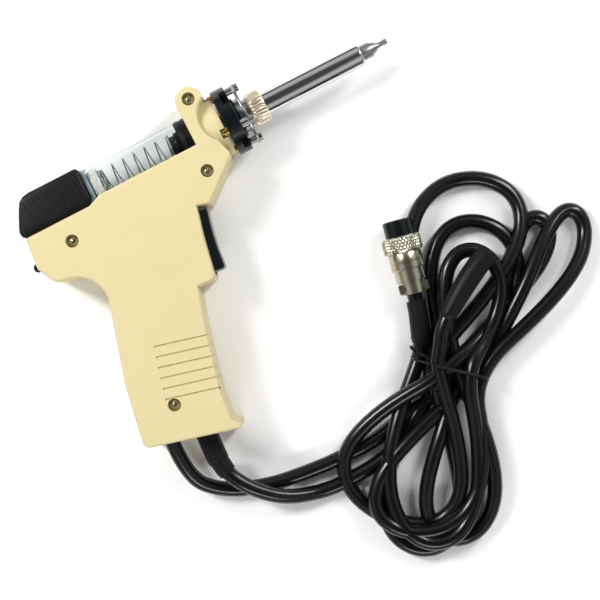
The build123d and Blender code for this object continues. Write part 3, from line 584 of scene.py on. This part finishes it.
screws = []
for x, y in ((0.0, 16.1), (-7.4, -17.5), (-78.0, -17.8), (-70.7, -107.1)):
    screw = turned([(6.0, 0.4), (7.0, 1.45), (29.6, 1.45), (29.6, 2.3), (29.9, 2.4), (30.4, 2.35),
                    (30.9, 2.0), (31.25, 1.3), (31.38, 0.4)], Matrix.Translation(mm(x, y, 0)), 48)
    for blade in cross_bit(mm(x, y, 31.4)):
        cut(screw, blade)
    screws.append(screw)
finish(joined(screws), "cross_screws", silver_nickel, "steel", "casing", "casing_screws")

# ---- sliding cap with a rounded shell, bored for the tube ----
cap_outline = [(-60.9, -3.2), (-60.9, 12.1), (-86.5, 12.1), (-89.6, 11.6), (-92.2, 9.9), (-94.2, 6.6),
               (-97.6, -0.4), (-98.6, -2.8), (-98.4, -4.6), (-97.9, -6.7), (-64.4, -6.7), (-62.4, -5.8)]
cap = slab(cap_outline, AXIS_Z - 14.5, AXIS_Z + 14.5, 2.6)
cap = cut(cap, turned([(-40.0, 11.85), (-92.0, 11.85)], BARREL))
bpy.ops.object.shade_smooth_by_angle(angle=radians(35))
finish(cap, "sliding_cap", satin_black, "black_plastic", "cap", "rear_cap")

# ---- ribs on the sliding cap ----
RIB_PITCH, RIB_RADIUS = 2.6, 0.36
ribs = []
for index in range(11):
    start = -91.0 + RIB_PITCH * index
    points = [mm(start + 1.5 * sin(pi * share / 6), -3.6 + 12.0 * share / 6, AXIS_Z + 14.3)
              for share in range(7)]
    ribs.append(nurbs("rib", points, RIB_RADIUS))
finish(joined(ribs), "cap_ribs", satin_black, "black_plastic", "cap")

# ---- trigger with its hollowed face ----
trigger_outline = [(-15.5, -31.9), (-16.6, -36.0), (-17.8, -41.0), (-18.8, -46.0), (-19.6, -51.0),
                   (-20.1, -56.0), (-20.6, -60.1), (-21.6, -60.9), (-26.8, -60.5), (-30.0, -57.5),
                   (-31.1, -40.0), (-29.0, -33.0), (-24.6, -31.3)]
trigger = slab(trigger_outline, AXIS_Z - 9.45, AXIS_Z + 9.45, 1.9)
finish(trigger, "trigger_blade", glossy_black, "trigger_plastic", "trigger", "trigger")

# ---- plug ----
PLUG = along(mm(*plug_origin), plug_way)
insert = turned([(1.2, 0.5), (1.2, 5.6), (0.1, 5.7), (0.0, 6.4), (0.5, 6.9), (14.0, 6.9), (14.0, 0.5),
                 (1.2, 0.5)], PLUG, 72, True)
finish(insert, "plug_core", phenolic, "bakelite", "casing", "plug_insert")


def knurled(angle, distance, radius):
    """Diamond knurling: two sets of ridges that cross on the ring's rim."""
    ridges, lead, depth = 36, 2.2, 0.25
    if radius < 9.0 or not 8.9 < distance < 14.8:
        return radius
    ridge = max(cos(ridges * angle + lead * distance), cos(ridges * angle - lead * distance))
    return radius - depth * (1 - ridge)


knurl_rows = [(9.0 + 0.4 * row, 9.5) for row in range(15)]
ring = turned([(8.0, 7.0), (8.0, 8.9), (8.6, 9.4)] + knurl_rows + [
    (15.0, 9.3), (15.6, 8.9), (15.6, 7.6), (13.5, 7.6), (13.4, 8.1), (9.0, 8.1), (9.0, 7.0), (8.0, 7.0)],
    PLUG, 288, True, 0.0, knurled)
finish(ring, "coupling_ring", silver_nickel, "nickel", "ring", "plug_ring")

shell = turned([(11.4, 6.95), (11.4, 7.45), (15.8, 7.5), (15.8, 7.8), (16.1, 8.0), (20.0, 8.0), (20.3, 7.7),
                (20.6, 7.7), (20.9, 8.0), (23.7, 8.0), (24.0, 7.7), (24.0, 7.2), (29.9, 7.2), (30.0, 6.1),
                (14.5, 6.1), (14.2, 6.95), (11.4, 6.95)], PLUG, 96, True)
finish(shell, "plug_shell", silver_nickel, "chrome", "casing", "plug_body")

# ---- floor and light ----
deselect()
bpy.ops.mesh.primitive_plane_add(size=4.0, location=(0, 0, -0.0002))
floor = bpy.context.object
floor.name = "floor"
floor.data.materials.append(surface("white painted board", "#FAFAFA", 0.8, 3.0, 0.02, darker=0.99))


def softbox(name, place, target, size, power):
    """A large soft lamp that looks at a target."""
    lamp = bpy.data.lights.new(name, "AREA")
    lamp.shape = "RECTANGLE"
    lamp.size, lamp.size_y = size
    lamp.energy = power
    box = bpy.data.objects.new(name, lamp)
    bpy.context.collection.objects.link(box)
    box.matrix_world = along(place, Vector(place) - Vector(target))
    return box


softbox("key", (-0.45, 0.6, 0.75), (0, 0, 0), (0.16, 0.5), 8.5)
softbox("fill", (0.75, 0.25, 0.6), (0, 0, 0), (0.14, 0.6), 5.5)
softbox("rim", (-0.3, -0.8, 0.6), (0, 0, 0), (0.6, 0.14), 3.5)

world = bpy.data.worlds.new("studio")
bpy.context.scene.world = world
world.use_nodes = True
sky = world.node_tree
sky_place = add_node(sky, "ShaderNodeTexCoord")
sky_height = add_node(sky, "ShaderNodeSeparateXYZ", (), {}, [("Vector", sky_place, "Generated")])
sky_ramp = add_node(sky, "ShaderNodeValToRGB", (), {}, [("Fac", sky_height, "Z")])
for position, shade in ((0.15, 0.06), (0.45, 0.9), (0.72, 1.0), (0.93, 0.12)):
    stop = sky_ramp.color_ramp.elements.new(position)
    stop.color = (shade, shade, shade, 1)
sky_ramp.color_ramp.elements.remove(sky_ramp.color_ramp.elements[0])
sky_ramp.color_ramp.elements.remove(sky_ramp.color_ramp.elements[-1])
sky.links.new(sky_ramp.outputs["Color"], sky.nodes["Background"].inputs["Color"])
sky.nodes["Background"].inputs["Strength"].default_value = 0.62
bpy.context.scene.view_settings.view_transform = "Standard"
